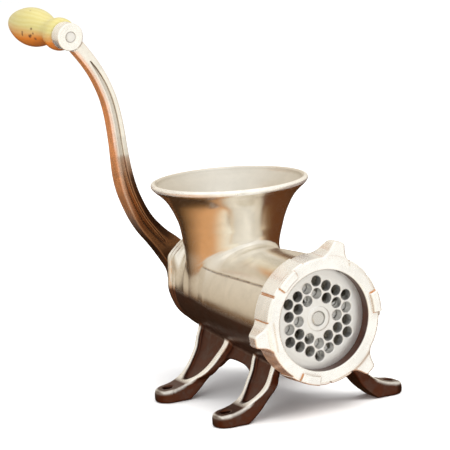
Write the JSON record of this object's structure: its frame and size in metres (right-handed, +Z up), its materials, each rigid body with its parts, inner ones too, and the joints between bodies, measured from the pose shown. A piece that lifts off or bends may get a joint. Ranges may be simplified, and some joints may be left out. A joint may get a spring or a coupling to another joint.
{
  "type": "hand crank meat grinder",
  "caption": "Bolt-down tinned cast iron hand crank meat grinder with flared hopper, tapered barrel, lugged ring nut, coarse plate and S-curved crank with turned wooden grip.",
  "frame": {"origin": "centre of the four foot holes on the foot plane", "axes": "+X to the front along the barrel, +Y to the machine's left, +Z up"},
  "size_m": [0.3716, 0.2285, 0.3526],
  "materials": {
    "tinned_casting": "tin plated over a lightly grained casting",
    "bronze": "machined",
    "fibre": "matte",
    "steel": "plated",
    "plate_steel": "ground",
    "turned_wood": "clear lacquer"
  },
  "bodies": {
    "frame": {"body_casting": "tinned_casting", "rear_bush": "bronze", "plate_key_pin": "steel"},
    "crank": {"auger": "tinned_casting", "auger_stud": "steel", "knife": "plate_steel", "thrust_washer": "fibre", "crank_arm": "tinned_casting", "grip_pin": "steel", "grip_washer": "steel", "grip_end_washer": "steel"},
    "grip": {"grip": "turned_wood"},
    "plate": {"grinding_plate": "plate_steel"},
    "ring": {"ring_nut": "tinned_casting"},
    "washer": {"crank_washer": "steel"},
    "screw": {"crank_screw": "steel"}
  },
  "joints": [
    {"name": "crank_turn", "type": "hinge", "parent": "frame", "child": "crank", "pos_m": [0, 0, 0.088], "axis": [1, 0, 0], "continuous": true},
    {"name": "grip_spin", "type": "hinge", "parent": "crank", "child": "grip", "pos_m": [-0.22995, -0.1126, 0.33402], "axis": [0.9994, 0, -0.0349], "continuous": true},
    {"name": "plate_slide", "type": "slide", "parent": "frame", "child": "plate", "axis": [1, 0, 0], "range_m": [0, 0.012]},
    {"name": "ring_turn", "type": "hinge", "parent": "plate", "child": "ring", "pos_m": [0.08, 0, 0.088], "axis": [1, 0, 0], "range_deg": [0, 1080]},
    {"name": "washer_slide", "type": "slide", "parent": "crank", "child": "washer", "axis": [-1, 0, 0], "range_m": [0, 0.024]},
    {"name": "screw_turn", "type": "hinge", "parent": "washer", "child": "screw", "pos_m": [-0.17, 0, 0.088], "axis": [-1, 0, 0], "range_deg": [0, 5760]}
  ],
  "couplings": [
    {"joint": "plate_slide", "follows": "ring_turn", "m_per_rad": 0.00063662},
    {"joint": "washer_slide", "follows": "screw_turn", "m_per_rad": 0.00023873}
  ]
}
